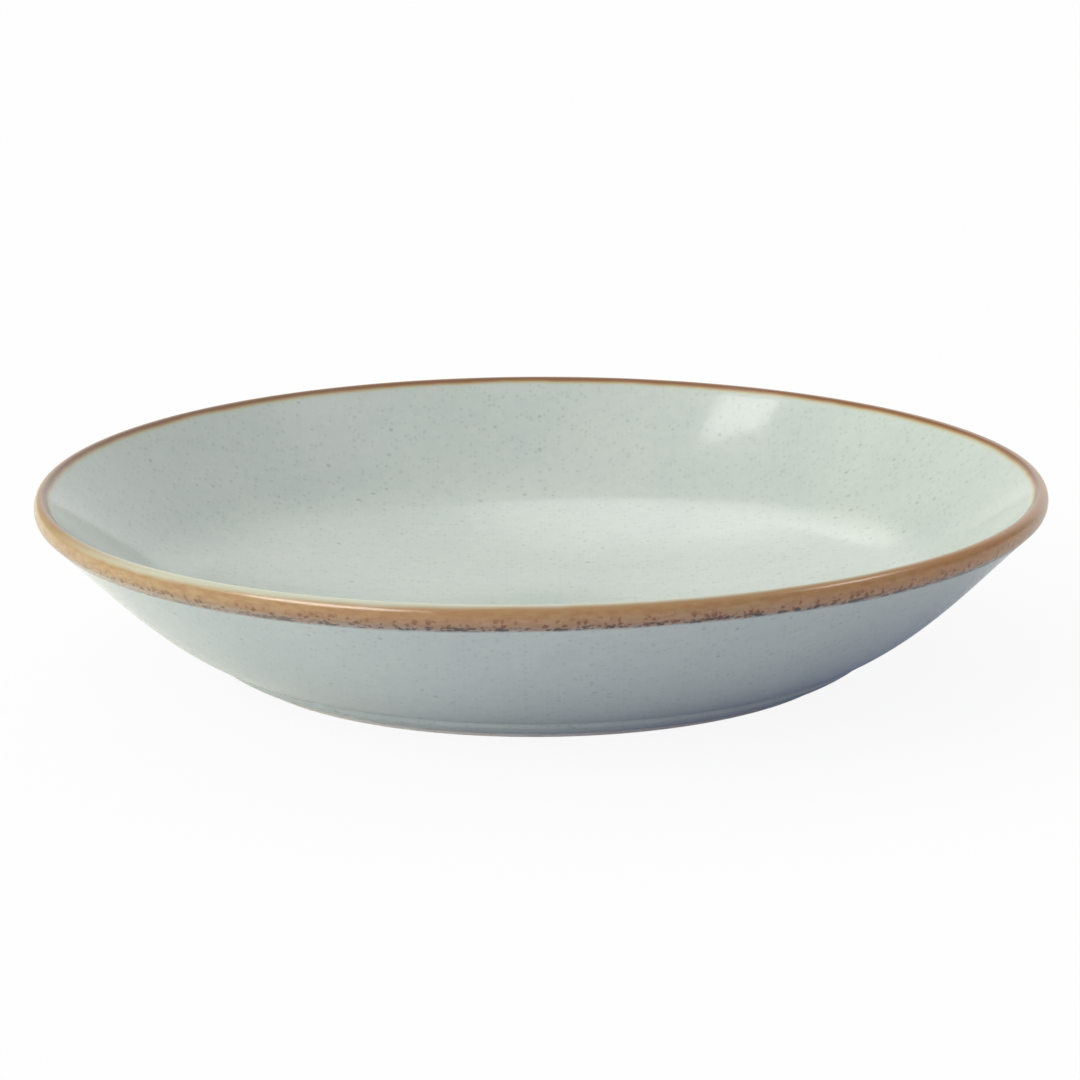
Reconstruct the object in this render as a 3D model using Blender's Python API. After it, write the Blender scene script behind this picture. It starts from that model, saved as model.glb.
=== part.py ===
"""Deep stoneware plate: a turned clay body and the four glaze coats fused to it.

Units are metres and +Z is up. The origin is the centre of the foot, on the table.
"""

import math

import bmesh
import bpy
from mathutils import Vector

# Driving dimensions of the fired plate, measured over its glaze
RIM_DIAMETER = 0.2600
HEIGHT = 0.0460
LIP_THICKNESS = 0.0040
LIP_DEPTH = 0.0060
BAND_WELL_WIDTH = 0.0009
BAND_WALL_WIDTH = 0.0014
WALL_THICKNESS = 0.0068
WELL_TURN_HEIGHT = 0.0204
WELL_WALL_BOW = 0.0006
WELL_FLAT_DIAMETER = 0.0300
FLOOR_THICKNESS = 0.0060
SHOULDER_DIAMETER = 0.1737
SHOULDER_HEIGHT = 0.0056
FOOT_DIAMETER = 0.1573
FOOT_HEEL_BOW = 0.0008
FOOT_FACE_WIDTH = 0.0045
RECESS_DEPTH = 0.0035
RECESS_SIDE_WIDTH = 0.0035
RECESS_SIDE_BOW = 0.0004
BARE_HEIGHT = 0.0010
GLAZE_THICKNESS = 0.0004
FIT_GAP = 0.0003

# Slopes of the outer wall, from level
WALL_TOP_SLOPE = math.radians(43.0)
WALL_FOOT_SLOPE = math.radians(24.0)

# How the dished floor steepens from its flat to the foot of the inner wall: 1 would be a straight slope
WELL_SWEEP_POWER = 1.8

# Angles round the centre of the lip's oval section, from level, where its stretches meet
LIP_INNER_ANGLE = math.radians(127.0)
LIP_CREST_ANGLE = math.radians(90.0)
LIP_OUTERMOST_ANGLE = 0.0
LIP_UNDERCUT_ANGLE = math.radians(-66.0)

# Linear colours and roughness of the finishes
CLAY_COLOUR = (0.62, 0.53, 0.40)
CLAY_ROUGHNESS = 0.75
GLAZE_COLOUR = (0.46, 0.50, 0.47)
GLAZE_ROUGHNESS = 0.12
BAND_COLOUR = (0.38, 0.22, 0.10)
BAND_ROUGHNESS = 0.25

# Facets of the solids
TURN_STEPS = 72
SWEEP_STEPS = 7
WELL_WALL_STEPS = 2
LIP_STEPS = (2, 4, 3)
OUTER_WALL_STEPS = 6
HEEL_STEPS = 4
RECESS_SIDE_STEPS = 2
SMOOTH_ANGLE = math.radians(30.0)
MERGE_DISTANCE = 1e-6


def bow(start, end, rise, steps):
    """Points from start to end that bow out by rise to the left of the way."""
    side = (end - start).orthogonal().normalized()
    shares = [step / steps for step in range(steps + 1)]
    return [start.lerp(end, share) + side * rise * 4 * share * (1 - share) for share in shares]


def bezier(start, start_pull, end_pull, end, steps):
    """Points along the cubic curve from start to end that leaves and arrives along its two pulls."""
    points = []
    for step in range(steps + 1):
        share = step / steps
        rest = 1 - share
        points.append(
            start * rest**3
            + (start + start_pull) * 3 * share * rest**2
            + (end + end_pull) * 3 * share**2 * rest
            + end * share**3
        )
    return points


def offset(points, depth):
    """The points moved by depth into the clay, which lies to the right of the way."""
    ways = [(after - before).normalized() for before, after in zip(points, points[1:])]
    sides = [Vector((way.y, -way.x)) for way in ways]
    moved = []
    for point, before, after in zip(points, sides[:1] + sides, sides + sides[-1:]):
        moved.append(point + (before + after) * depth / (1 + before.dot(after)))
    return moved


def split_at_height(points, height):
    """The two parts of a run of points, before and after it first crosses a height."""
    for index, (before, after) in enumerate(zip(points, points[1:])):
        if (before.y - height) * (after.y - height) <= 0:
            crossing = before.lerp(after, (height - before.y) / (after.y - before.y))
            return points[: index + 1] + [crossing], [crossing] + points[index + 1 :]
    raise ValueError("the run never crosses the height")


def split_at_length(points, length):
    """The two parts of a run of points, before and after a length of its way."""
    way = points[1] - points[0]
    if way.length <= length:
        before, after = split_at_length(points[1:], length - way.length)
        return points[:1] + before, after
    cut = points[0] + way.normalized() * length
    return [points[0], cut], [cut] + points[1:]


def trimmed(points, length):
    """A run of points without the first length of its way."""
    return split_at_length(points, length)[1]


def down_slope(angle):
    """The unit way inwards and down at an angle from level."""
    return Vector((-math.cos(angle), -math.sin(angle)))


def lip_run():
    """The lip from the inside, over its crest, to the slight undercut where the wall starts."""
    half_thickness = LIP_THICKNESS / 2
    half_depth = LIP_DEPTH / 2
    centre = Vector((RIM_DIAMETER / 2 - half_thickness, HEIGHT - half_depth))
    corners = (LIP_INNER_ANGLE, LIP_CREST_ANGLE, LIP_OUTERMOST_ANGLE, LIP_UNDERCUT_ANGLE)
    angles = [LIP_INNER_ANGLE]
    for start, end, steps in zip(corners, corners[1:], LIP_STEPS):
        angles += [start + (end - start) * step / steps for step in range(1, steps + 1)]
    return [
        centre + Vector((half_thickness * math.cos(angle), half_depth * math.sin(angle)))
        for angle in angles
    ]


def outer_wall_run(top):
    """The outer wall from below the lip to the shoulder of the foot."""
    shoulder = Vector((SHOULDER_DIAMETER / 2, SHOULDER_HEIGHT))
    pull = (top - shoulder).length / 3
    return bezier(
        top,
        down_slope(WALL_TOP_SLOPE) * pull,
        down_slope(WALL_FOOT_SLOPE) * -pull,
        shoulder,
        OUTER_WALL_STEPS,
    )


def well_run(outer_wall, lip_start):
    """The inside from the centre of the floor, up the sweep and the wall, to the lip."""
    floor = RECESS_DEPTH + FLOOR_THICKNESS
    flat_edge = Vector((WELL_FLAT_DIAMETER / 2, floor))
    turn = split_at_height(offset(outer_wall, WALL_THICKNESS), WELL_TURN_HEIGHT)[1][0]
    sweep = []
    for step in range(1, SWEEP_STEPS + 1):
        share = step / SWEEP_STEPS
        rise = (turn.y - floor) * share**WELL_SWEEP_POWER
        sweep.append(Vector((flat_edge.lerp(turn, share).x, floor + rise)))
    inner_wall = bow(turn, lip_start, -WELL_WALL_BOW, WELL_WALL_STEPS)
    return [Vector((0.0, floor)), flat_edge] + sweep + inner_wall[1:]


def finish(name, colour, roughness):
    """A Principled material of one colour, for a clay or a glaze."""
    material = bpy.data.materials.new(name)
    material.use_nodes = True
    shader = material.node_tree.nodes["Principled BSDF"]
    shader.inputs["Base Color"].default_value = (*colour, 1.0)
    shader.inputs["Roughness"].default_value = roughness
    shader.inputs["Metallic"].default_value = 0.0
    return material


def turned(name, section, material):
    """A closed body of revolution about Z from the section's points, which may meet the axis."""
    builder = bmesh.new()
    points = [builder.verts.new((point.x, 0.0, point.y)) for point in section]
    pairs = zip(points, points[1:] + points[:1])
    off_axis = [pair for pair in pairs if max(pair[0].co.x, pair[1].co.x) > MERGE_DISTANCE]
    edges = [builder.edges.new(pair) for pair in off_axis]
    bmesh.ops.spin(
        builder,
        geom=points + edges,
        cent=(0.0, 0.0, 0.0),
        axis=(0.0, 0.0, 1.0),
        angle=math.tau,
        steps=TURN_STEPS,
        use_merge=True,
    )
    bmesh.ops.remove_doubles(builder, verts=builder.verts, dist=MERGE_DISTANCE)
    bmesh.ops.recalc_face_normals(builder, faces=builder.faces)
    mesh = bpy.data.meshes.new(name)
    builder.to_mesh(mesh)
    builder.free()
    mesh.shade_smooth()
    mesh.set_sharp_from_angle(angle=SMOOTH_ANGLE)
    mesh.materials.append(material)
    body = bpy.data.objects.new(name, mesh)
    body.parent = plate
    bpy.context.scene.collection.objects.link(body)


def coat(name, outer, under, material):
    """A glaze coat between its outer surface and its underside."""
    turned(name, outer + under[::-1], material)


for scene_object in list(bpy.data.objects):
    bpy.data.objects.remove(scene_object)

plate = bpy.data.objects.new("deep_plate", None)
bpy.context.scene.collection.objects.link(plate)

# The finished surface, run by run, from the centre of the well to the centre of the base
lip = lip_run()
outer_wall = outer_wall_run(lip[-1])
inside = well_run(outer_wall, lip[0])
foot_edge = Vector((FOOT_DIAMETER / 2, 0.0))
heel = bow(outer_wall[-1], foot_edge, FOOT_HEEL_BOW, HEEL_STEPS)
glazed_heel, bare_heel = split_at_height(heel, BARE_HEIGHT)
recess_foot = Vector((foot_edge.x - FOOT_FACE_WIDTH, 0.0))
recess_top = Vector((recess_foot.x - RECESS_SIDE_WIDTH, RECESS_DEPTH))
recess_side = bow(recess_foot, recess_top, RECESS_SIDE_BOW, RECESS_SIDE_STEPS)
bare_side, glazed_side = split_at_height(recess_side, BARE_HEIGHT)
base = glazed_side + [Vector((0.0, RECESS_DEPTH))]

# The band reaches past the lip, a little into the well and down the wall
band_top, below_band = split_at_length(inside[::-1], BAND_WELL_WIDTH)
band_foot, under_band = split_at_length(outer_wall, BAND_WALL_WIDTH)
well = trimmed(below_band, FIT_GAP)[::-1]
band = band_top[::-1] + lip[1:] + band_foot[1:]
wall = trimmed(under_band, FIT_GAP) + glazed_heel[1:]

# Bare clay starts one gap past the edges of the coats
bare_heel = trimmed(bare_heel, FIT_GAP)
bare_side = trimmed(bare_side[::-1], FIT_GAP)[::-1]
glazed_top = well + band + wall + bare_heel[:1]
glazed_base = bare_side[-1:] + base

# Clay body: one gap under the coats, and bare on the foot
clay_depth = GLAZE_THICKNESS + FIT_GAP
clay = offset(glazed_top, clay_depth) + bare_heel + bare_side + offset(glazed_base, clay_depth)
turned("clay_body", clay, finish("fired_stoneware", CLAY_COLOUR, CLAY_ROUGHNESS))

# Well glaze: the coat on the inside
top_under = offset(glazed_top, GLAZE_THICKNESS)
well_under = top_under[: len(well)]
coat("well_glaze", well, well_under, finish("well_glaze_grey", GLAZE_COLOUR, GLAZE_ROUGHNESS))

# Rim band: the brown coat over the lip
band_under = top_under[len(well) : len(well + band)]
coat("rim_band", band, band_under, finish("iron_oxide_brown", BAND_COLOUR, BAND_ROUGHNESS))

# Wall glaze: the coat on the outside, down to the bare foot
wall_under = top_under[len(well + band) : len(well + band + wall)]
coat("wall_glaze", wall, wall_under, finish("wall_glaze_grey", GLAZE_COLOUR, GLAZE_ROUGHNESS))

# Base glaze: the coat under the floor, inside the foot ring
base_under = offset(glazed_base, GLAZE_THICKNESS)[1:]
coat("base_glaze", base, base_under, finish("base_glaze_grey", GLAZE_COLOUR, GLAZE_ROUGHNESS))
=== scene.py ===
"""Looks of the deep stoneware plate: the fired body, its coats of glaze, and a studio to see them in."""

import math

import bmesh
import bpy
from mathutils import Matrix, Vector


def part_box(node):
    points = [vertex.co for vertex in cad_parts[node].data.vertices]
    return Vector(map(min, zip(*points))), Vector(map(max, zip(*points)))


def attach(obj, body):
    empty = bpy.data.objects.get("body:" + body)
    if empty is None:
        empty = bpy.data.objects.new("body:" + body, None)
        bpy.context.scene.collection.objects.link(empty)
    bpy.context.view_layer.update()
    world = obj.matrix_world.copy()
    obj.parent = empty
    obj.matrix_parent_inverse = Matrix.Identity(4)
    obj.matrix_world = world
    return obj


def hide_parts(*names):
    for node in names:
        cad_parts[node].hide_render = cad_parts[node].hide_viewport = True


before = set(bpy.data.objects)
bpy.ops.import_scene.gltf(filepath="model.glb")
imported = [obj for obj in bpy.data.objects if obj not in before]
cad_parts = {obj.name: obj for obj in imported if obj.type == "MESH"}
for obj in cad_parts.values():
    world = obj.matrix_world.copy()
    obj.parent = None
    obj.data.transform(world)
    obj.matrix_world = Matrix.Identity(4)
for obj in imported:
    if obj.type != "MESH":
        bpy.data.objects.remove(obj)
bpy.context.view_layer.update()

# Clay body: the plate itself, one piece of buff stoneware pressed on a turning mould and fired hard.
# Every coat of glaze is fused to it, so it shows only on the foot, wiped bare for the kiln shelf.
RIM_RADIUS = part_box("rim_band")[1].x
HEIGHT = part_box("rim_band")[1].z
BARE_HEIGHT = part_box("wall_glaze")[0].z
COAT_THICKNESS = 0.0004
COAT_CLEARANCE = 0.00005
RECESS_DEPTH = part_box("base_glaze")[1].z - COAT_THICKNESS
FLOOR_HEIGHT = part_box("well_glaze")[0].z + COAT_THICKNESS
FLOOR_FLAT_RADIUS = 0.0150
FLOOR_SWEEP_POWER = 1.8
WELL_TURN_HEIGHT = 0.0204
WELL_WALL_BOW = 0.0006
WALL_THICKNESS = 0.0068
WALL_TOP_SLOPE = math.radians(43.0)
WALL_FOOT_SLOPE = math.radians(24.0)
WALL_PULL_PARTS = 3
LIP_HALF_THICKNESS = 0.0020
LIP_HALF_DEPTH = 0.0030
LIP_INNER_ANGLE = math.radians(127.0)
LIP_UNDERCUT_ANGLE = math.radians(-66.0)
SHOULDER = Vector((0.08685, 0.0056))
FOOT_RADIUS = 0.07865
FOOT_FACE_WIDTH = 0.0045
BROW_HEIGHT = 0.0011
BROW_WIDTH = 0.0005
HEEL_BOW = 0.0004
FOOT_SIDE_HEIGHT = 0.0008
FOOT_SIDE_WIDTH = 0.0003
RECESS_SIDE_WIDTH = 0.0035
RECESS_SIDE_BOW = 0.0004

# How far each soft corner of the pressed clay reaches to both sides of it
TURN_ROUNDING = 0.0080
LIP_ROUNDING = 0.0006
SHOULDER_ROUNDING = 0.0006
BROW_ROUNDING = 0.0006
FOOT_ROUNDING = 0.0003
RECESS_ROUNDING = 0.0010

# Points along each run of the section
FLOOR_STEPS = 3
SWEEP_STEPS = 32
INNER_WALL_STEPS = 16
LIP_STEPS = 32
OUTER_WALL_STEPS = 28
HEEL_STEPS = 8
RECESS_SIDE_STEPS = 6
ROOF_STEPS = 6
CORNER_STEPS = 8

# A plate sags a little in the kiln, so that its rim is no longer quite level
WARP_HEIGHT = -0.00055
WARP_WAVES = 2.0
WARP_TURN = 0.55
WARP_START_RADIUS = 0.0870
WARP_POWER = 1.5

STEPS_ROUND = 256
SHARP_ANGLE = math.radians(35.0)
MERGE_DISTANCE = 1e-6


def bow(start, end, rise, steps):
    """Points from start to end that bow out by rise to the left of the way."""
    side = (end - start).orthogonal().normalized()
    shares = [step / steps for step in range(steps + 1)]
    return [start.lerp(end, share) + side * rise * 4 * share * (1 - share) for share in shares]


def bezier(start, start_pull, end_pull, end, steps):
    """Points along the cubic curve from start to end that leaves and arrives along its two pulls."""
    points = []
    for step in range(steps + 1):
        share = step / steps
        rest = 1 - share
        first = start * rest**3 + (start + start_pull) * 3 * share * rest**2
        points.append(first + (end + end_pull) * 3 * share**2 * rest + end * share**3)
    return points


def without_start(points, length):
    """A run of points without the first length of its way."""
    way = points[1] - points[0]
    if way.length <= length:
        return without_start(points[1:], length - way.length)
    return [points[0] + way.normalized() * length] + points[1:]


def rounded(before, after, reach):
    """Two runs that meet at a corner, joined by a curve that reaches to both sides of the corner."""
    head = without_start(before[::-1], reach)[::-1]
    tail = without_start(after, reach)
    corner = after[0]
    curve = []
    for step in range(1, CORNER_STEPS):
        share = step / CORNER_STEPS
        curve.append(head[-1].lerp(corner, share).lerp(corner.lerp(tail[0], share), share))
    return head + curve + tail


def offset(points, depths):
    """The points moved by their depths into the clay, which lies to the right of the way."""
    ways = [(after - before).normalized() for before, after in zip(points, points[1:])]
    sides = [Vector((way.y, -way.x)) for way in ways]
    moved = []
    for point, depth, before, after in zip(points, depths, sides[:1] + sides, sides + sides[-1:]):
        moved.append(point + (before + after) * depth / (1 + before.dot(after)))
    return moved


def at_height(points, height):
    """The point where a run of points first crosses a height."""
    for before, after in zip(points, points[1:]):
        if (before.y - height) * (after.y - height) <= 0:
            return before.lerp(after, (height - before.y) / (after.y - before.y))
    raise ValueError("the run never crosses the height")


def down_slope(angle):
    """The unit way inwards and down at an angle from level."""
    return Vector((-math.cos(angle), -math.sin(angle)))


# The finished surface in section, from the centre of the well, over the lip, to the centre of the base
lip_centre = Vector((RIM_RADIUS - LIP_HALF_THICKNESS, HEIGHT - LIP_HALF_DEPTH))
lip = []
for step in range(LIP_STEPS + 1):
    angle = LIP_INNER_ANGLE + (LIP_UNDERCUT_ANGLE - LIP_INNER_ANGLE) * step / LIP_STEPS
    lip.append(lip_centre + Vector((LIP_HALF_THICKNESS * math.cos(angle), LIP_HALF_DEPTH * math.sin(angle))))
pull = (lip[-1] - SHOULDER).length / WALL_PULL_PARTS
top_pull = down_slope(WALL_TOP_SLOPE) * pull
foot_pull = down_slope(WALL_FOOT_SLOPE) * -pull
outer_wall = bezier(lip[-1], top_pull, foot_pull, SHOULDER, OUTER_WALL_STEPS)
turn = at_height(offset(outer_wall, [WALL_THICKNESS] * len(outer_wall)), WELL_TURN_HEIGHT)
floor = [Vector((FLOOR_FLAT_RADIUS * step / FLOOR_STEPS, FLOOR_HEIGHT)) for step in range(FLOOR_STEPS + 1)]
flat_edge = floor[-1]
for step in range(1, SWEEP_STEPS + 1):
    share = step / SWEEP_STEPS
    rise = (turn.y - FLOOR_HEIGHT) * share**FLOOR_SWEEP_POWER
    floor.append(Vector((flat_edge.lerp(turn, share).x, FLOOR_HEIGHT + rise)))
inner_wall = bow(turn, lip[0], -WELL_WALL_BOW, INNER_WALL_STEPS)
foot_edge = Vector((FOOT_RADIUS, 0.0))
recess_edge = Vector((FOOT_RADIUS - FOOT_FACE_WIDTH, 0.0))
recess_top = recess_edge + Vector((-RECESS_SIDE_WIDTH, RECESS_DEPTH))
brow = SHOULDER + Vector((-BROW_WIDTH, -BROW_HEIGHT))
foot_top = foot_edge + Vector((FOOT_SIDE_WIDTH, FOOT_SIDE_HEIGHT))
heel = rounded([SHOULDER, brow], bow(brow, foot_top, HEEL_BOW, HEEL_STEPS), BROW_ROUNDING)
recess_side = bow(recess_edge, recess_top, RECESS_SIDE_BOW, RECESS_SIDE_STEPS)
roof = bow(recess_top, Vector((0.0, RECESS_DEPTH)), 0.0, ROOF_STEPS)

finished = rounded(floor, inner_wall, TURN_ROUNDING)
finished = rounded(finished, lip, LIP_ROUNDING)
finished = rounded(finished, outer_wall, LIP_ROUNDING)
finished = rounded(finished, heel, SHOULDER_ROUNDING)
finished = rounded(finished, [foot_top, foot_edge], FOOT_ROUNDING)
finished = rounded(finished, [foot_edge, recess_edge], FOOT_ROUNDING)
finished = rounded(finished, recess_side, FOOT_ROUNDING)
finished = rounded(finished, roof, RECESS_ROUNDING)

# Distance of each of its points from the crest of the lip, along the surface: below 0 inside the plate
along = [0.0]
for before, after in zip(finished, finished[1:]):
    along.append(along[-1] + (after - before).length)
crest = along[max(range(len(finished)), key=lambda index: finished[index].y)]
along = [distance - crest for distance in along]


def add(tree, kind, inputs=None, **settings):
    """Adds a node with its settings; each of its inputs takes a value or another node's output."""
    node = tree.nodes.new(kind)
    for name, value in settings.items():
        setattr(node, name, value)
    for name, value in (inputs or {}).items():
        by_name = [socket for socket in node.inputs if socket.enabled and socket.name == name]
        socket = node.inputs[name] if isinstance(name, int) else by_name[0]
        if isinstance(value, bpy.types.NodeSocket):
            tree.links.new(value, socket)
        else:
            socket.default_value = value
    return node


def turning_tree():
    """A tree that turns a section of points about Z, and warps the rim."""
    tree = bpy.data.node_groups.new("turned_about_z", "GeometryNodeTree")
    for label, kind in (
        ("Section", "NodeSocketGeometry"),
        ("Steps Round", "NodeSocketInt"),
        ("Warp Height", "NodeSocketFloat"),
        ("Warp Turn", "NodeSocketFloat"),
        ("Warp Start Radius", "NodeSocketFloat"),
        ("Rim Radius", "NodeSocketFloat"),
        ("Material", "NodeSocketMaterial"),
    ):
        tree.interface.new_socket(label, in_out="INPUT", socket_type=kind)
    tree.interface.new_socket("Piece", in_out="OUTPUT", socket_type="NodeSocketGeometry")
    given = add(tree, "NodeGroupInput").outputs

    # One row of the grid for each point of the section, and one column more than the steps round
    columns = add(
        tree, "FunctionNodeIntegerMath", {0: given["Steps Round"], 1: 1}, operation="ADD"
    ).outputs[0]
    size = add(tree, "GeometryNodeAttributeDomainSize", {"Geometry": given["Section"]}, component="MESH")
    grid = add(
        tree,
        "GeometryNodeMeshGrid",
        {"Vertices X": size.outputs["Point Count"], "Vertices Y": columns},
    )
    index = add(tree, "GeometryNodeInputIndex").outputs[0]
    row = add(tree, "FunctionNodeIntegerMath", {0: index, 1: columns}, operation="DIVIDE_FLOOR").outputs[0]
    column = add(tree, "FunctionNodeIntegerMath", {0: index, 1: columns}, operation="MODULO").outputs[0]
    share = add(tree, "ShaderNodeMath", {0: column, 1: given["Steps Round"]}, operation="DIVIDE").outputs[0]
    angle = add(tree, "ShaderNodeMath", {0: share, 1: math.tau}, operation="MULTIPLY").outputs[0]

    # Each row takes its radius, height and distance from the crest from its point of the section
    spot = add(tree, "GeometryNodeInputPosition").outputs[0]
    point = add(
        tree,
        "GeometryNodeSampleIndex",
        {"Geometry": given["Section"], "Value": spot, "Index": row},
        data_type="FLOAT_VECTOR",
    )
    carried = add(tree, "GeometryNodeInputNamedAttribute", {"Name": "along"}, data_type="FLOAT").outputs[0]
    distance = add(
        tree,
        "GeometryNodeSampleIndex",
        {"Geometry": given["Section"], "Value": carried, "Index": row},
        data_type="FLOAT",
    )
    place = add(tree, "ShaderNodeSeparateXYZ", {"Vector": point.outputs[0]}).outputs
    cosine = add(tree, "ShaderNodeMath", {0: angle}, operation="COSINE").outputs[0]
    sine = add(tree, "ShaderNodeMath", {0: angle}, operation="SINE").outputs[0]
    across = add(tree, "ShaderNodeMath", {0: place["X"], 1: cosine}, operation="MULTIPLY").outputs[0]
    deep = add(tree, "ShaderNodeMath", {0: place["X"], 1: sine}, operation="MULTIPLY").outputs[0]

    # The warp rises and falls twice in a turn, and fades out towards the foot
    wave = add(
        tree, "ShaderNodeMath", {0: angle, 1: WARP_WAVES, 2: given["Warp Turn"]}, operation="MULTIPLY_ADD"
    ).outputs[0]
    swing = add(tree, "ShaderNodeMath", {0: wave}, operation="SINE").outputs[0]
    slack = add(
        tree,
        "ShaderNodeMapRange",
        {"Value": place["X"], "From Min": given["Warp Start Radius"], "From Max": given["Rim Radius"]},
    ).outputs[0]
    fade = add(tree, "ShaderNodeMath", {0: slack, 1: WARP_POWER}, operation="POWER").outputs[0]
    reach = add(tree, "ShaderNodeMath", {0: fade, 1: given["Warp Height"]}, operation="MULTIPLY").outputs[0]
    height = add(
        tree, "ShaderNodeMath", {0: swing, 1: reach, 2: place["Z"]}, operation="MULTIPLY_ADD"
    ).outputs[0]

    warped = add(tree, "ShaderNodeCombineXYZ", {"X": across, "Y": deep, "Z": height}).outputs[0]
    moved = add(tree, "GeometryNodeSetPosition", {"Geometry": grid.outputs["Mesh"], "Position": warped})
    stored = add(
        tree,
        "GeometryNodeStoreNamedAttribute",
        {"Geometry": moved.outputs[0], "Name": "along", "Value": distance.outputs[0]},
        data_type="FLOAT",
        domain="POINT",
    )
    closed = add(
        tree, "GeometryNodeMergeByDistance", {"Geometry": stored.outputs[0], "Distance": MERGE_DISTANCE}
    )
    smooth = add(tree, "GeometryNodeSetShadeSmooth", {"Geometry": closed.outputs[0]})
    real = add(tree, "GeometryNodeRealizeInstances", {"Geometry": smooth.outputs[0]})
    finish = add(
        tree,
        "GeometryNodeSetMaterial",
        {"Geometry": real.outputs[0], "Material": given["Material"]},
    )
    add(tree, "NodeGroupOutput", {"Piece": finish.outputs[0]})
    return tree


turning = turning_tree()


def turned(name, section, distances, material):
    """A piece turned from a section, whose points carry their distances from the crest."""
    points = bpy.data.meshes.new(name)
    points.from_pydata([(point.x, 0.0, point.y) for point in section], [], [])
    points.attributes.new("along", "FLOAT", "POINT").data.foreach_set("value", distances)
    blank = bpy.data.objects.new(name + "_section", points)
    bpy.context.scene.collection.objects.link(blank)
    modifier = blank.modifiers.new("turned", "NODES")
    modifier.node_group = turning
    values = {
        "Steps Round": STEPS_ROUND,
        "Warp Height": WARP_HEIGHT,
        "Warp Turn": WARP_TURN,
        "Warp Start Radius": WARP_START_RADIUS,
        "Rim Radius": RIM_RADIUS,
        "Material": material,
    }
    for socket in turning.interface.items_tree:
        if socket.name in values:
            modifier[socket.identifier] = values[socket.name]
    evaluated = blank.evaluated_get(bpy.context.evaluated_depsgraph_get())
    mesh = bpy.data.meshes.new_from_object(evaluated)
    bpy.data.objects.remove(blank)
    builder = bmesh.new()
    builder.from_mesh(mesh)
    bmesh.ops.recalc_face_normals(builder, faces=builder.faces)
    builder.to_mesh(mesh)
    builder.free()
    mesh.set_sharp_from_angle(angle=SHARP_ANGLE)
    piece = bpy.data.objects.new(name, mesh)
    bpy.context.scene.collection.objects.link(piece)
    return piece


def linear(code):
    """The linear colour of an sRGB hex value."""
    shares = [int(code[start : start + 2], 16) / 255 for start in (1, 3, 5)]
    return [*(v / 12.92 if v <= 0.04045 else ((v + 0.055) / 1.055) ** 2.4 for v in shares), 1.0]


# Buff stoneware, sponged smooth and fired without glaze: matt and cream, with a fine sandy grain
# and tiny rust flecks
CLAY_PALE = linear("#F0EEE6")
CLAY_DEEP = linear("#E2DDD0")
CLAY_FLECK = linear("#9A8468")
CLAY_ROUGHNESS = 0.80
CLAY_GRAIN_SIZE = 0.0012
CLAY_GRAIN_DETAIL = 4.0
CLAY_GRAIN_HEIGHT = 0.00004
CLAY_FLECK_SPACING = 0.0018
CLAY_FLECK_RADIUS = 0.00025
CLAY_FLECK_SHARE = 0.35
CLAY_FLECK_SOFTNESS = 0.00016


def specks(tree, place, spacing, radius, share, softness, dimensions="3D"):
    """A mask of soft round specks up to a radius, in a share of the cells of a loose grid."""
    edge = softness / spacing
    grid = {"Vector": place, "Scale": 1 / spacing}
    cells = add(tree, "ShaderNodeTexVoronoi", grid, voronoi_dimensions=dimensions).outputs
    chance = add(tree, "ShaderNodeSeparateColor", {"Color": cells["Color"]}).outputs["Red"]
    size = add(
        tree,
        "ShaderNodeMapRange",
        {"Value": chance, "From Min": 1 - share, "To Min": -edge, "To Max": radius / spacing},
    ).outputs[0]
    depth = add(tree, "ShaderNodeMath", {0: size, 1: cells["Distance"]}, operation="SUBTRACT").outputs[0]
    return add(
        tree,
        "ShaderNodeMapRange",
        {"Value": depth, "From Min": -edge, "From Max": edge},
        interpolation_type="SMOOTHSTEP",
    ).outputs[0]


bare_stoneware = bpy.data.materials.new("bare_buff_stoneware")
bare_stoneware.use_nodes = True
tree = bare_stoneware.node_tree
shader = tree.nodes["Principled BSDF"]
shader.inputs["Roughness"].default_value = CLAY_ROUGHNESS
place = add(tree, "ShaderNodeTexCoord").outputs["Object"]
grain = add(
    tree,
    "ShaderNodeTexNoise",
    {"Vector": place, "Scale": 1 / CLAY_GRAIN_SIZE, "Detail": CLAY_GRAIN_DETAIL},
).outputs["Fac"]
sandy = add(tree, "ShaderNodeMix", {"Factor": grain, "A": CLAY_PALE, "B": CLAY_DEEP}, data_type="RGBA")
flecks = specks(tree, place, CLAY_FLECK_SPACING, CLAY_FLECK_RADIUS, CLAY_FLECK_SHARE, CLAY_FLECK_SOFTNESS)
flecked = add(
    tree,
    "ShaderNodeMix",
    {"Factor": flecks, "A": sandy.outputs["Result"], "B": CLAY_FLECK},
    data_type="RGBA",
)
relief = add(tree, "ShaderNodeBump", {"Height": grain, "Distance": CLAY_GRAIN_HEIGHT})
tree.links.new(flecked.outputs["Result"], shader.inputs["Base Color"])
tree.links.new(relief.outputs["Normal"], shader.inputs["Normal"])

# The clay lies one coat deep under the glaze, and comes up to the finished surface on the foot
depths = [COAT_THICKNESS * min(1.0, point.y / BARE_HEIGHT) for point in finished]
body = turned("stoneware_body", offset(finished, depths), along, bare_stoneware)
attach(body, "root")
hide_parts("clay_body")

# Well glaze: the glassy coat poured over the inside, from the centre of the floor up to the lip.
# It is a stoneware glaze, fused to the clay, and it runs on under the brown of the rim.
BAND_FADE = 0.0012
BEAD_WIDTH = 0.0006
BEAD_STEPS = 5
LEAST_STEP = 0.00002


def crossings(height):
    """The distances from the crest at which the finished surface crosses a height."""
    found = []
    for before, after, near, far in zip(finished, finished[1:], along, along[1:]):
        if (before.y > height) != (after.y > height):
            found.append(near + (far - near) * (height - before.y) / (after.y - before.y))
    return found


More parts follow.
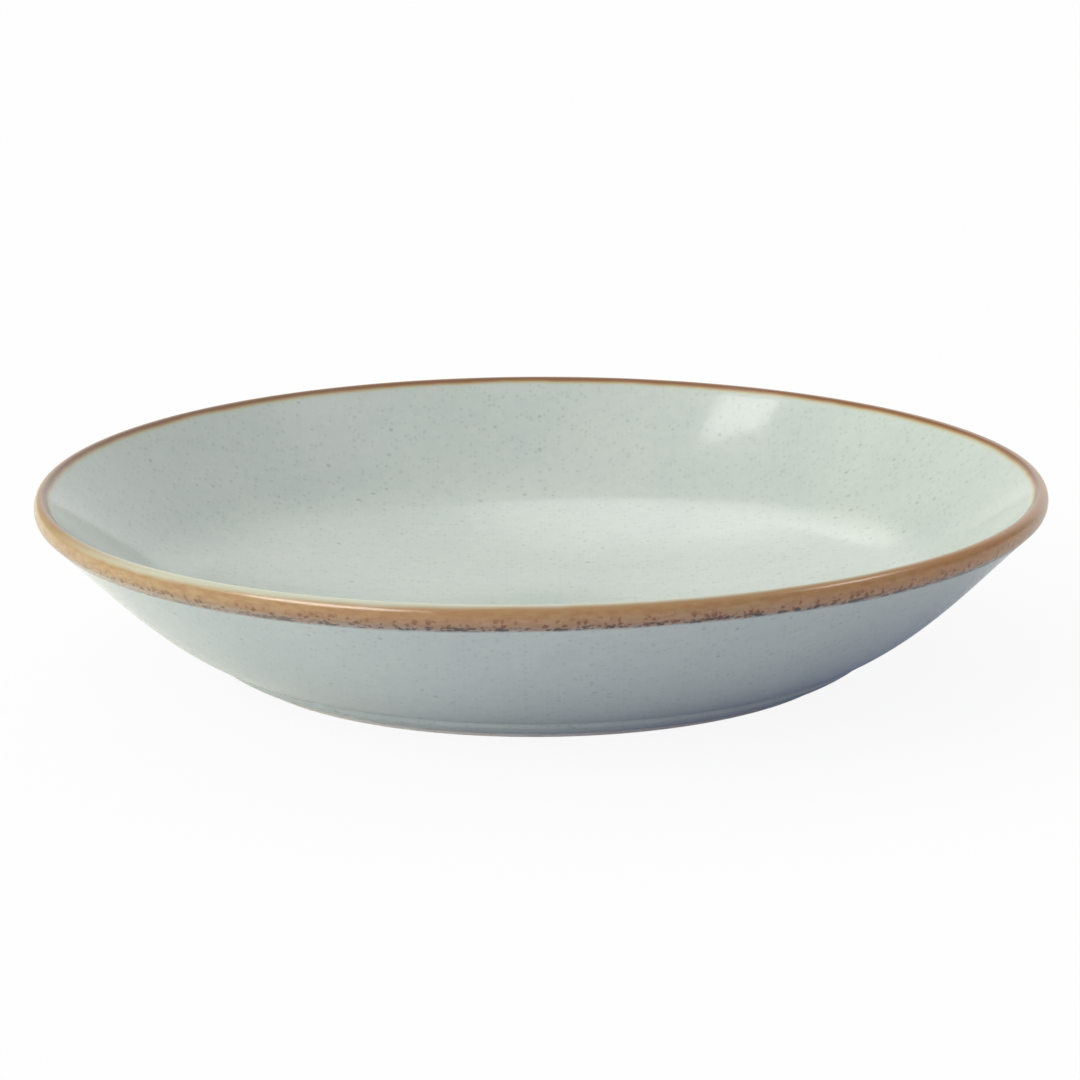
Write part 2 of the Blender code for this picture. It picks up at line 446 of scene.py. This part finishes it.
def surface_at(distance):
    """The point of the finished surface at a distance from the crest."""
    for before, after, near, far in zip(finished, finished[1:], along, along[1:]):
        if near <= distance <= far:
            return before.lerp(after, (distance - near) / (far - near))
    raise ValueError("the distance is past the end of the surface")


def coat(name, start, end, material, bare_edge=None):
    """A coat of glaze on a stretch of the finished surface, which thins to a rounded bead at a bare edge."""
    depth = COAT_THICKNESS - COAT_CLEARANCE
    distances = [start, end]
    distances += [distance for distance in along if start + LEAST_STEP < distance < end - LEAST_STEP]
    thinning = [1 - math.cos(math.pi / 2 * step / BEAD_STEPS) for step in range(1, BEAD_STEPS)]
    if bare_edge is not None:
        inwards = 1 if bare_edge == start else -1
        distances += [bare_edge + inwards * BEAD_WIDTH * share for share in thinning]
    distances.sort()
    points = [surface_at(distance) for distance in distances]
    sunk = []
    for distance in distances:
        inset = BEAD_WIDTH if bare_edge is None else min(abs(distance - bare_edge), BEAD_WIDTH)
        sunk.append(depth * (1 - math.sqrt(1 - (1 - inset / BEAD_WIDTH) ** 2)))
    outer = offset(points, sunk)
    under = offset(points, [depth] * len(points))
    section = outer + under[::-1]
    carried = distances + distances[::-1]
    if min(section[0].x, section[-1].x) > MERGE_DISTANCE and outer[-1].x > MERGE_DISTANCE:
        section.append(section[0])
        carried.append(carried[0])
    return turned(name, section, carried, material)


# Grey-green stoneware glaze, fired glossy: it pools and thins, so its tone drifts from place to place,
# iron in the clay bleeds through as fine dark specks, and the surface is a little wavy, like still water
WELL_PALE = linear("#C9D1C7")
WELL_DEEP = linear("#BFC9C1")
# The outside's tones are the same glaze a little cooler: painted shade, for the cool shade on the outer wall
WALL_SHADE_PALE = linear("#C8D2CB")
WALL_SHADE_DEEP = linear("#BECAC5")
GLAZE_SPECK = linear("#69716A")
GLAZE_IOR = 1.57
GLAZE_ROUGHNESS = 0.11
GLAZE_CLOUD_SIZE = 0.030
GLAZE_CLOUD_DETAIL = 3.0
GLAZE_MOTTLE_SIZE = 0.0030
GLAZE_MOTTLE_DETAIL = 4.0
GLAZE_MOTTLE_ROUGHNESS = 0.65
GLAZE_MOTTLE_SHARE = 0.50
GLAZE_WAVE_SIZE = 0.0070
GLAZE_WAVE_DETAIL = 1.0
GLAZE_WAVE_HEIGHT = 0.00003
FINE_SPECK_SPACING = 0.0013
FINE_SPECK_RADIUS = 0.00055
FINE_SPECK_SHARE = 0.85
FINE_SPECK_SOFTNESS = 0.00038
FINE_SPECK_STRENGTH = 0.17
BOLD_SPECK_SPACING = 0.0042
BOLD_SPECK_RADIUS = 0.00065
BOLD_SPECK_SHARE = 0.80
BOLD_SPECK_SOFTNESS = 0.00030
BOLD_SPECK_STRENGTH = 0.30

# Blender's noise keeps mostly between these
NOISE_LOW = 0.35
NOISE_HIGH = 0.65


def glaze_look(tree, place, pale, deep):
    """The glaze's colour between its pale and its deep tone, and the height of its waves, at a place."""
    cloud = add(
        tree,
        "ShaderNodeTexNoise",
        {"Vector": place, "Scale": 1 / GLAZE_CLOUD_SIZE, "Detail": GLAZE_CLOUD_DETAIL},
    ).outputs["Fac"]
    mottle = add(
        tree,
        "ShaderNodeTexNoise",
        {
            "Vector": place,
            "Scale": 1 / GLAZE_MOTTLE_SIZE,
            "Detail": GLAZE_MOTTLE_DETAIL,
            "Roughness": GLAZE_MOTTLE_ROUGHNESS,
        },
    ).outputs["Fac"]
    tone = add(
        tree, "ShaderNodeMix", {"Factor": GLAZE_MOTTLE_SHARE, "A": cloud, "B": mottle}
    ).outputs["Result"]
    drift = add(
        tree, "ShaderNodeMapRange", {"Value": tone, "From Min": NOISE_LOW, "From Max": NOISE_HIGH}
    ).outputs[0]
    colour = add(
        tree, "ShaderNodeMix", {"Factor": drift, "A": pale, "B": deep}, data_type="RGBA"
    ).outputs["Result"]
    fine = (FINE_SPECK_SPACING, FINE_SPECK_RADIUS, FINE_SPECK_SHARE, FINE_SPECK_SOFTNESS)
    bold = (BOLD_SPECK_SPACING, BOLD_SPECK_RADIUS, BOLD_SPECK_SHARE, BOLD_SPECK_SOFTNESS)
    for sizes, strength in ((fine, FINE_SPECK_STRENGTH), (bold, BOLD_SPECK_STRENGTH)):
        mask = specks(tree, place, *sizes)
        cover = add(tree, "ShaderNodeMath", {0: mask, 1: strength}, operation="MULTIPLY").outputs[0]
        colour = add(
            tree, "ShaderNodeMix", {"Factor": cover, "A": colour, "B": GLAZE_SPECK}, data_type="RGBA"
        ).outputs["Result"]
    waves = add(
        tree,
        "ShaderNodeTexNoise",
        {"Vector": place, "Scale": 1 / GLAZE_WAVE_SIZE, "Detail": GLAZE_WAVE_DETAIL},
    ).outputs["Fac"]
    return colour, waves


def stoneware_glaze(name, pale, deep):
    """The finish of a coat of glaze between its pale and its deep tone."""
    glaze = bpy.data.materials.new(name)
    glaze.use_nodes = True
    tree = glaze.node_tree
    shader = tree.nodes["Principled BSDF"]
    shader.inputs["IOR"].default_value = GLAZE_IOR
    shader.inputs["Roughness"].default_value = GLAZE_ROUGHNESS
    colour, waves = glaze_look(tree, add(tree, "ShaderNodeTexCoord").outputs["Object"], pale, deep)
    relief = add(tree, "ShaderNodeBump", {"Height": waves, "Distance": GLAZE_WAVE_HEIGHT})
    tree.links.new(colour, shader.inputs["Base Color"])
    tree.links.new(relief.outputs["Normal"], shader.inputs["Normal"])
    return glaze


grey_green_glaze = stoneware_glaze("grey_green_stoneware_glaze", WELL_PALE, WELL_DEEP)

inner_seam = crossings(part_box("well_glaze")[1].z)[0] - BAND_FADE
outer_seam = crossings(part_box("wall_glaze")[1].z)[1] + BAND_FADE
wall_edge, base_edge = crossings(BARE_HEIGHT)

well = coat("well_coat", along[0], inner_seam, grey_green_glaze)
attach(well, "root")
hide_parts("well_glaze")

# Rim band: a wash of iron oxide brushed round the lip on the turning wheel before the last firing.
# It melts into the glaze, caramel below the crest, with dark iron gathered along its lower edge; the cream
# over the crest at the front is a painted highlight.
BAND_STOPS = (
    (-0.0036, "#C4CCB9"),
    (-0.0027, "#C0C2A2"),
    (-0.0021, "#BAA67C"),
    (-0.0016, "#A07A52"),
    (-0.0011, "#80583A"),
    (-0.0006, "#86603F"),
    (0.0000, "#A07C56"),
    (0.0008, "#A9865C"),
    (0.0016, "#AF8C60"),
    (0.0028, "#AE8A5A"),
    (0.0040, "#AC8A60"),
    (0.0054, "#A98B6C"),
    (0.0070, "#A6917F"),
    (0.0082, "#A69C90"),
)
BAND_INNER_EDGE = (-0.0036, -0.0017)
BAND_OUTER_EDGE = (0.0072, 0.0088)
BAND_IOR = 1.57
BAND_ROUGHNESS = 0.20

# The brush wandered in long waves, laid the band broader away from one place, and left streaks along the rim
BAND_WANDER_SIZE = 0.0160
BAND_WANDER = 0.00015
BAND_NARROWEST_X = 0.0400
BAND_NARROWEST = 1.06
BAND_WIDENING = 1.9
BAND_INSIDE_BREADTH = 1.0
STREAK_TONE = linear("#97603E")
STREAK_SIZE = 0.0010
STREAK_STRETCH = 3.0
STREAK_STRENGTH = 0.40
STREAK_RANGE = (0.0014, 0.0026, 0.0070, 0.0086)

# Crest: a painted highlight, cream over the crest at the front and most of all on the left, where the crest
# catches the light of the backdrop and the window
CREST_PAINTED_HIGHLIGHT = linear("#C7C8B0")
CREST_HIGHLIGHT_EDGE = (0.0004, 0.0018)
CREST_HIGHLIGHT_LEAN = 0.008
CREST_HIGHLIGHT_FRONT_Y = (-0.0400, -0.1000)
CREST_HIGHLIGHT_STRENGTH = 1.0

# Tan: painted light, the band paler and yellower all over the left, the side the window lights
TAN_PAINTED_LIGHT = linear("#C8B07E")
TAN_START = (0.0000, 0.0016)
TAN_X = (-0.1100, -0.0300)
TAN_STRENGTH = 0.50

# Orange: it is thicker and warmer towards the right
ORANGE_THICK = linear("#CC8448")
ORANGE_X = (0.0500, 0.1050)
ORANGE_RANGE = (-0.0001, 0.0010, 0.0052, 0.0078)
ORANGE_STRENGTH = 0.40

# Rust: small red-brown spots that the oxide left where the brush dragged
RUST_SPOT = linear("#74402A")
RUST_SPACING = 0.0016
RUST_RADIUS = 0.00085
RUST_SHARE = 0.88
RUST_SOFTNESS = 0.00035
RUST_STRETCH = 1.0
RUST_RANGE = (0.0030, 0.0054, 0.0074, 0.0084)
RUST_STRENGTH = 0.82

# Iron: soft dark dashes where the oxide gathered along the lower edge, fewer on the left
IRON_DARK = linear("#3E2C30")
IRON_SPACING = 0.0013
IRON_RADIUS = 0.00115
IRON_SHARE = 0.95
IRON_SOFTNESS = 0.00030
IRON_STRETCH = 1.3
IRON_RANGE = (0.0056, 0.0067, 0.0080, 0.0088)
IRON_STRENGTH = 0.92
IRON_START_X = (-0.1150, -0.0500)

# Rust and iron have ragged edges, moved to and fro by a fine noise
RAGGED_SIZE = 0.0011
RAGGED_SWING = 0.0016

# A mask for stains that show everywhere in their range, and a scale that lays a place level
EVERYWHERE = 1.0
LEVEL = (1.0, 1.0, 0.0)


def between(tree, near, near_limits, far, far_limits):
    """A mask that rises as one distance passes its two limits, and falls as another passes its own two."""
    masks = []
    for distance, (start, end) in ((near, near_limits), (far, far_limits[::-1])):
        reach = {"Value": distance, "From Min": start, "From Max": end}
        masks.append(add(tree, "ShaderNodeMapRange", reach, interpolation_type="SMOOTHSTEP").outputs[0])
    return add(tree, "ShaderNodeMath", {0: masks[0], 1: masks[1]}, operation="MULTIPLY").outputs[0]


def round_the_rim(tree, place, distance, stretch):
    """Places on the band by their way round the rim and their distance, drawn out along it by a stretch."""
    level = add(tree, "ShaderNodeVectorMath", {0: place, 1: LEVEL}, operation="MULTIPLY").outputs[0]
    outwards = add(tree, "ShaderNodeVectorMath", {0: level}, operation="NORMALIZE").outputs[0]
    ring = add(
        tree, "ShaderNodeVectorMath", {0: outwards, "Scale": RIM_RADIUS / stretch}, operation="SCALE"
    ).outputs[0]
    across = add(tree, "ShaderNodeCombineXYZ", {"Z": distance}).outputs[0]
    return add(tree, "ShaderNodeVectorMath", {0: ring, 1: across}, operation="ADD").outputs[0]


def unrolled(tree, place, distance, stretch):
    """Places on the band laid out flat: across, their way round from its front, and up, their distance."""
    sides = add(tree, "ShaderNodeSeparateXYZ", {"Vector": place}).outputs
    front = add(tree, "ShaderNodeMath", {0: sides["Y"], 1: -1.0}, operation="MULTIPLY").outputs[0]
    turn = add(tree, "ShaderNodeMath", {0: sides["X"], 1: front}, operation="ARCTAN2").outputs[0]
    way = add(tree, "ShaderNodeMath", {0: turn, 1: RIM_RADIUS / stretch}, operation="MULTIPLY").outputs[0]
    flat = add(tree, "ShaderNodeCombineXYZ", {"X": way, "Y": distance}).outputs[0]
    noise = add(tree, "ShaderNodeTexNoise", {"Vector": place, "Scale": 1 / RAGGED_SIZE}).outputs["Color"]
    swing = add(
        tree, "ShaderNodeVectorMath", {0: noise, "Scale": RAGGED_SWING}, operation="SCALE"
    ).outputs[0]
    return add(tree, "ShaderNodeVectorMath", {0: flat, 1: swing}, operation="ADD").outputs[0]


def wandering(tree, rim, distance, size, swing):
    """The distance, moved to and fro by up to a swing in waves of a size along the rim."""
    noise = add(tree, "ShaderNodeTexNoise", {"Vector": rim, "Scale": 1 / size}).outputs["Fac"]
    shift = add(
        tree,
        "ShaderNodeMapRange",
        {"Value": noise, "From Min": NOISE_LOW, "From Max": NOISE_HIGH, "To Min": -swing, "To Max": swing},
    ).outputs[0]
    return add(tree, "ShaderNodeMath", {0: distance, 1: shift}, operation="ADD").outputs[0]


iron_band = bpy.data.materials.new("iron_oxide_band_in_glaze")
iron_band.use_nodes = True
tree = iron_band.node_tree
shader = tree.nodes["Principled BSDF"]
shader.inputs["IOR"].default_value = BAND_IOR
shader.inputs["Roughness"].default_value = BAND_ROUGHNESS
place = add(tree, "ShaderNodeTexCoord").outputs["Object"]
down = add(tree, "ShaderNodeAttribute", attribute_name="along").outputs["Fac"]
outside = add(tree, "ShaderNodeMath", {0: down, 1: 0.0}, operation="GREATER_THAN").outputs[0]
tones = []
# Outside the crest the glaze takes the cooler tones of painted shade
for well_tone, wall_tone in ((WELL_PALE, WALL_SHADE_PALE), (WELL_DEEP, WALL_SHADE_DEEP)):
    tone = add(
        tree, "ShaderNodeMix", {"Factor": outside, "A": well_tone, "B": wall_tone}, data_type="RGBA"
    )
    tones.append(tone.outputs["Result"])
glaze, waves = glaze_look(tree, place, *tones)

# Distance across the band, as the brush laid it
sides = add(tree, "ShaderNodeSeparateXYZ", {"Vector": place}).outputs
aside = add(tree, "ShaderNodeMath", {0: sides["X"], 1: BAND_NARROWEST_X}, operation="SUBTRACT").outputs[0]
apart = add(tree, "ShaderNodeMath", {0: aside}, operation="ABSOLUTE").outputs[0]
narrowing = add(
    tree, "ShaderNodeMath", {0: apart, 1: -BAND_WIDENING, 2: BAND_NARROWEST}, operation="MULTIPLY_ADD"
).outputs[0]
breadth = add(
    tree, "ShaderNodeMix", {"Factor": outside, "A": BAND_INSIDE_BREADTH, "B": narrowing}
).outputs["Result"]
across = add(tree, "ShaderNodeMath", {0: down, 1: breadth}, operation="MULTIPLY").outputs[0]
rim = round_the_rim(tree, place, distance=0.0, stretch=1.0)
brushed = wandering(tree, rim, across, BAND_WANDER_SIZE, BAND_WANDER)

# Oxide colours across the band, from inside the lip to its lower edge
first, last = BAND_STOPS[0][0], BAND_STOPS[-1][0]
share = add(tree, "ShaderNodeMapRange", {"Value": brushed, "From Min": first, "From Max": last}).outputs[0]
ramp = add(tree, "ShaderNodeValToRGB", {"Fac": share})
for stop, code in BAND_STOPS[1:-1]:
    ramp.color_ramp.elements.new((stop - first) / (last - first))
for element, (stop, code) in zip(ramp.color_ramp.elements, BAND_STOPS):
    element.color = linear(code)

# Masks of the streaks along the rim, the rust spots and the dashes of iron
streaks = add(
    tree,
    "ShaderNodeTexNoise",
    {"Vector": round_the_rim(tree, place, down, STREAK_STRETCH), "Scale": 1 / STREAK_SIZE},
).outputs["Fac"]
streaky = add(
    tree, "ShaderNodeMapRange", {"Value": streaks, "From Min": NOISE_LOW, "From Max": NOISE_HIGH}
).outputs[0]
rust_place = unrolled(tree, place, down, RUST_STRETCH)
rusty = specks(tree, rust_place, RUST_SPACING, RUST_RADIUS, RUST_SHARE, RUST_SOFTNESS, "2D")
rust_range = between(tree, brushed, RUST_RANGE[:2], brushed, RUST_RANGE[2:])
iron_place = unrolled(tree, place, down, IRON_STRETCH)
dashes = specks(tree, iron_place, IRON_SPACING, IRON_RADIUS, IRON_SHARE, IRON_SOFTNESS, "2D")
iron_range = between(tree, brushed, IRON_RANGE[:2], brushed, IRON_RANGE[2:])
start, end = IRON_START_X
laden = add(tree, "ShaderNodeMapRange", {"Value": sides["X"], "From Min": start, "From Max": end}).outputs[0]
iron_range = add(tree, "ShaderNodeMath", {0: iron_range, 1: laden}, operation="MULTIPLY").outputs[0]
streak_range = between(tree, brushed, STREAK_RANGE[:2], brushed, STREAK_RANGE[2:])
leaning = add(
    tree, "ShaderNodeMath", {0: sides["X"], 1: CREST_HIGHLIGHT_LEAN, 2: brushed}, operation="MULTIPLY_ADD"
).outputs[0]
# Painted highlight: cream on the crest at the front, wider on the left
crest_highlight_range = between(tree, sides["Y"], CREST_HIGHLIGHT_FRONT_Y, leaning, CREST_HIGHLIGHT_EDGE)
# Painted light: paler tan over the left of the band
left_lit_tan_range = between(tree, brushed, TAN_START, sides["X"], TAN_X)
start, end = ORANGE_X
thick = add(tree, "ShaderNodeMapRange", {"Value": sides["X"], "From Min": start, "From Max": end}).outputs[0]
orange_range = between(tree, brushed, ORANGE_RANGE[:2], brushed, ORANGE_RANGE[2:])

# The stains, the painted light of the tan and the painted highlight on the crest go on one over another, and
# the glaze shows where the band ends
colour = ramp.outputs["Color"]
for mask, reach, strength, stain_and_painted_light in (
    (EVERYWHERE, left_lit_tan_range, TAN_STRENGTH, TAN_PAINTED_LIGHT),
    (thick, orange_range, ORANGE_STRENGTH, ORANGE_THICK),
    (EVERYWHERE, crest_highlight_range, CREST_HIGHLIGHT_STRENGTH, CREST_PAINTED_HIGHLIGHT),
    (streaky, streak_range, STREAK_STRENGTH, STREAK_TONE),
    (rusty, rust_range, RUST_STRENGTH, RUST_SPOT),
    (dashes, iron_range, IRON_STRENGTH, IRON_DARK),
):
    cover = add(tree, "ShaderNodeMath", {0: mask, 1: reach}, operation="MULTIPLY").outputs[0]
    cover = add(tree, "ShaderNodeMath", {0: cover, 1: strength}, operation="MULTIPLY").outputs[0]
    colour = add(
        tree, "ShaderNodeMix", {"Factor": cover, "A": colour, "B": stain_and_painted_light}, data_type="RGBA"
    ).outputs["Result"]
cover = between(tree, brushed, BAND_INNER_EDGE, brushed, BAND_OUTER_EDGE)
colour = add(
    tree, "ShaderNodeMix", {"Factor": cover, "A": glaze, "B": colour}, data_type="RGBA"
).outputs["Result"]
relief = add(tree, "ShaderNodeBump", {"Height": waves, "Distance": GLAZE_WAVE_HEIGHT})
tree.links.new(colour, shader.inputs["Base Color"])
tree.links.new(relief.outputs["Normal"], shader.inputs["Normal"])

band = coat("rim_band_coat", inner_seam, outer_seam, iron_band)
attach(band, "root")
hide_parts("rim_band")

# Wall glaze: the same grey-green glaze on the outside, from under the band to just above the table, made a
# little cooler as painted shade.
# The plate is dipped in it, and the foot is wiped, which leaves a rounded bead of glaze at its edge.
shade_cooled_glaze = stoneware_glaze("grey_green_glaze_with_painted_shade", WALL_SHADE_PALE, WALL_SHADE_DEEP)
wall = coat("wall_coat", outer_seam, wall_edge, shade_cooled_glaze, bare_edge=wall_edge)
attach(wall, "root")
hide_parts("wall_glaze")

# Base glaze: the same glaze under the floor, inside the foot ring, so that the whole base is sealed.
# It stops in a bead above the ring's bare face.
base = coat("base_coat", base_edge, along[-1], shade_cooled_glaze, bare_edge=base_edge)
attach(base, "root")
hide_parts("base_glaze")

# Floor: a sheet of seamless white paper that the plate stands on, which is not part of the plate.
# It looks white to the camera, lies a hair below the foot and keeps the plate's soft shadow.
# In the glaze it shows dimmer, with a painted shadow, dark and cool, close to the foot, and painted light,
# palest, on the side of the window.
FLOOR_HALF_WIDTH = 6.0
FLOOR_DROP = 0.0001
PAPER_GLOW = linear("#F5F5F5")
PAPER_SHADE = linear("#4F4F4F")
PAPER_MIRRORED_PAINTED_SHADOW = linear("#2C3A5C")
PAPER_MIRRORED_FAR = linear("#7A7A72")
PAPER_SHADE_MIDDLE = (0.035, 0.0, 0.0)
PAPER_PAINTED_SHADOW_REACH = (0.07, 0.13)
PAPER_MIRRORED_PAINTED_LIGHT = linear("#A0A193")
PAPER_PAINTED_LIGHT_REACH = (-0.02, -0.07)
PAPER_MIRRORED_SHADE = linear("#DCDBD9")
PAPER_BOUNCE = linear("#D7D8DF")

signs = ((-1, -1), (1, -1), (1, 1), (-1, 1))
corners = [(x * FLOOR_HALF_WIDTH, y * FLOOR_HALF_WIDTH, -FLOOR_DROP) for x, y in signs]
sheet = bpy.data.meshes.new("paper_floor")
sheet.from_pydata(corners, [], [(0, 1, 2, 3)])
paper = bpy.data.materials.new("seamless_white_paper")
paper.use_nodes = True
tree = paper.node_tree
tree.nodes.remove(tree.nodes["Principled BSDF"])


def mirrored(tree):
    """1 for what reflections and clear things show, and 0 for the rest."""
    rays = add(tree, "ShaderNodeLightPath").outputs
    glossy = rays["Is Glossy Ray"]
    clear = rays["Is Transmission Ray"]
    return add(tree, "ShaderNodeMath", {0: glossy, 1: clear}, operation="MAXIMUM").outputs[0]


def white_paper(tree, glow, shade):
    """Paper that glows enough to look white, and takes a shadow with the rest of its white."""
    lit = add(tree, "ShaderNodeEmission", {"Color": glow}).outputs[0]
    shaded = add(tree, "ShaderNodeBsdfDiffuse", {"Color": shade}).outputs[0]
    return add(tree, "ShaderNodeAddShader", {0: lit, 1: shaded}).outputs[0]


bounce = add(tree, "ShaderNodeBsdfDiffuse", {"Color": PAPER_BOUNCE}).outputs[0]
spot = add(tree, "ShaderNodeTexCoord").outputs["Object"]
away = add(
    tree, "ShaderNodeVectorMath", {0: spot, 1: PAPER_SHADE_MIDDLE}, operation="DISTANCE"
).outputs["Value"]
leftward = add(tree, "ShaderNodeSeparateXYZ", {"Vector": spot}).outputs["X"]
# A painted shadow, dark and cool, round a middle to the right of the foot, and painted window light on the
# left, in what the glaze reflects
mirrored_glow_with_painted_light = PAPER_MIRRORED_PAINTED_SHADOW
for way, (start, end), tone in (
    (away, PAPER_PAINTED_SHADOW_REACH, PAPER_MIRRORED_FAR),
    (leftward, PAPER_PAINTED_LIGHT_REACH, PAPER_MIRRORED_PAINTED_LIGHT),
):
    share = add(tree, "ShaderNodeMapRange", {"Value": way, "From Min": start, "From Max": end}).outputs[0]
    mirrored_glow_with_painted_light = add(
        tree, "ShaderNodeMix", {"Factor": share, "A": mirrored_glow_with_painted_light, "B": tone}, data_type="RGBA"
    ).outputs["Result"]
reflected = white_paper(tree, mirrored_glow_with_painted_light, PAPER_MIRRORED_SHADE)
unseen = add(tree, "ShaderNodeMixShader", {0: mirrored(tree), 1: bounce, 2: reflected}).outputs[0]
seen = white_paper(tree, PAPER_GLOW, PAPER_SHADE)
straight = add(tree, "ShaderNodeLightPath").outputs["Is Camera Ray"]
mixed = add(tree, "ShaderNodeMixShader", {0: straight, 1: unseen, 2: seen}).outputs[0]
tree.links.new(mixed, tree.nodes["Material Output"].inputs["Surface"])
sheet.materials.append(paper)
paper_floor = bpy.data.objects.new("paper_floor", sheet)
bpy.context.scene.collection.objects.link(paper_floor)

# Light: a white room with a tall window at the left front, and pale walls that send its light back.
# A little cool daylight comes in at the front, and windows and one small lit pane gleam in the glaze.
ROOM_LIGHTS = (
    (Vector((-1.0, -0.5, 0.05)), linear("#FFFDF5"), 2.77),
    (Vector((0.0, 1.0, 0.7)), linear("#F8FFF9"), 1.15),
    (Vector((0.1, -1.0, 0.0)), linear("#8479FF"), 0.35),
    (Vector((1.0, -0.3, 0.5)), linear("#FFF9EC"), 0.27),
)
ROOM_LIGHT_POWER = 4.0
BACKDROP = linear("#FDFDFD")
LEFT_SIDE = linear("#7C7C7C")
LEFT_SIDE_REACH = (-0.05, -0.60)
RIGHT_SIDE = linear("#9C9C9C")
RIGHT_SIDE_REACH = (0.50, 0.80)
FRONT_SIDE = linear("#B3B3B3")
FRONT_SIDE_REACH = (0.05, -0.15)

# Windows in the reflections: where each lies, its width over its height, how far from its middle
# its light ends and how far it is full, and how many times brighter than the room it is
PLAIN_ROOM = 1.0
WINDOWS = (
    (Vector((-0.19, 0.765, 0.612)), 1.0, (0.27, 0.15), 1.9),
    (Vector((-0.71, -0.575, 0.40)), 2.6, (0.42, 0.26), 24.0),
    (Vector((0.777, -0.06, 0.60)), 2.6, (0.30, 0.12), 16.0),
)
PANE_SPOT = Vector((-0.419, 0.178, 1.028))
PANE_SIZE = (0.158, 0.075)
PANE_POWER = 0.142
PANE_AIM = Vector((0.056, 0.106, 0.039))
PANE_LONG_SIDE = Vector((-0.713, 0.581, -0.383))

room = bpy.data.worlds.new("white_room")
room.use_nodes = True
tree = room.node_tree
ambient = tree.nodes["Background"]
way = add(tree, "ShaderNodeTexCoord").outputs["Generated"]
total = (0.0, 0.0, 0.0)
for side, colour, most in ROOM_LIGHTS:
    toward = add(
        tree, "ShaderNodeVectorMath", {0: way, 1: side.normalized()}, operation="DOT_PRODUCT"
    ).outputs["Value"]
    share = add(tree, "ShaderNodeMapRange", {"Value": toward, "From Min": -1.0, "From Max": 1.0}).outputs[0]
    soft = add(tree, "ShaderNodeMath", {0: share, 1: ROOM_LIGHT_POWER}, operation="POWER").outputs[0]
    strength = add(tree, "ShaderNodeMath", {0: soft, 1: most}, operation="MULTIPLY").outputs[0]
    glow = add(
        tree, "ShaderNodeVectorMath", {0: colour[:3], "Scale": strength}, operation="SCALE"
    ).outputs[0]
    total = add(tree, "ShaderNodeVectorMath", {0: glow, 1: total}, operation="ADD").outputs[0]
tree.links.new(total, ambient.inputs["Color"])

# Reflections show the white backdrop behind the plate, and a dimmer room at its sides and in front
ways = add(tree, "ShaderNodeSeparateXYZ", {"Vector": way}).outputs
shown = BACKDROP
for axis, (start, end), colour in (
    ("X", LEFT_SIDE_REACH, LEFT_SIDE),
    ("X", RIGHT_SIDE_REACH, RIGHT_SIDE),
    ("Y", FRONT_SIDE_REACH, FRONT_SIDE),
):
    share = add(
        tree,
        "ShaderNodeMapRange",
        {"Value": ways[axis], "From Min": start, "From Max": end},
        interpolation_type="SMOOTHSTEP",
    ).outputs[0]
    shown = add(
        tree, "ShaderNodeMix", {"Factor": share, "A": shown, "B": colour}, data_type="RGBA"
    ).outputs["Result"]
window = PLAIN_ROOM
for middle, flatness, (outer, inner), brightness in WINDOWS:
    off = add(
        tree, "ShaderNodeVectorMath", {0: way, 1: middle.normalized()}, operation="SUBTRACT"
    ).outputs[0]
    flat = add(
        tree, "ShaderNodeVectorMath", {0: off, 1: (1.0, 1.0, flatness)}, operation="MULTIPLY"
    ).outputs[0]
    away = add(tree, "ShaderNodeVectorMath", {0: flat}, operation="LENGTH").outputs["Value"]
    lit = add(
        tree,
        "ShaderNodeMapRange",
        {"Value": away, "From Min": outer, "From Max": inner, "To Max": brightness - PLAIN_ROOM},
        interpolation_type="SMOOTHSTEP",
    ).outputs[0]
    window = add(tree, "ShaderNodeMath", {0: lit, 1: window}, operation="ADD").outputs[0]
reflected = add(tree, "ShaderNodeBackground", {"Color": shown, "Strength": window}).outputs[0]
unseen = add(
    tree, "ShaderNodeMixShader", {0: mirrored(tree), 1: ambient.outputs[0], 2: reflected}
).outputs[0]
seen = add(tree, "ShaderNodeBackground", {"Color": BACKDROP}).outputs[0]
straight = add(tree, "ShaderNodeLightPath").outputs["Is Camera Ray"]
mixed = add(tree, "ShaderNodeMixShader", {0: straight, 1: unseen, 2: seen}).outputs[0]
tree.links.new(mixed, tree.nodes["World Output"].inputs["Surface"])
bpy.context.scene.world = room

pane = bpy.data.lights.new("lit_pane", "AREA")
pane.shape = "RECTANGLE"
pane.size, pane.size_y = PANE_SIZE
pane.energy = PANE_POWER
back = (PANE_SPOT - PANE_AIM).normalized()
long_side = (PANE_LONG_SIDE - back * PANE_LONG_SIDE.dot(back)).normalized()
turned_pane = Matrix((long_side, back.cross(long_side), back)).transposed().to_4x4()
holder = bpy.data.objects.new("lit_pane", pane)
holder.matrix_world = Matrix.Translation(PANE_SPOT) @ turned_pane
bpy.context.scene.collection.objects.link(holder)

# Camera: a long lens a little above the rim, at the angle from which such a plate is usually shown.
# It is rolled by about half a degree, as it was when the plate was photographed.
CAMERA_SPOT = Vector((-0.00035, -1.15807, 0.31577))
CAMERA_ELEVATION = math.radians(13.86)
CAMERA_ROLL = math.radians(0.48)
CAMERA_LENS = 153.93
CAMERA_SENSOR = 36.0

lens = bpy.data.cameras.new("camera")
lens.lens = CAMERA_LENS
lens.sensor_width = CAMERA_SENSOR
camera = bpy.data.objects.new("camera", lens)
tilt = Matrix.Rotation(math.pi / 2 - CAMERA_ELEVATION, 4, "X")
camera.matrix_world = Matrix.Translation(CAMERA_SPOT) @ tilt @ Matrix.Rotation(-CAMERA_ROLL, 4, "Z")
bpy.context.scene.collection.objects.link(camera)
bpy.context.scene.camera = camera
bpy.context.scene.view_settings.view_transform = "Standard"
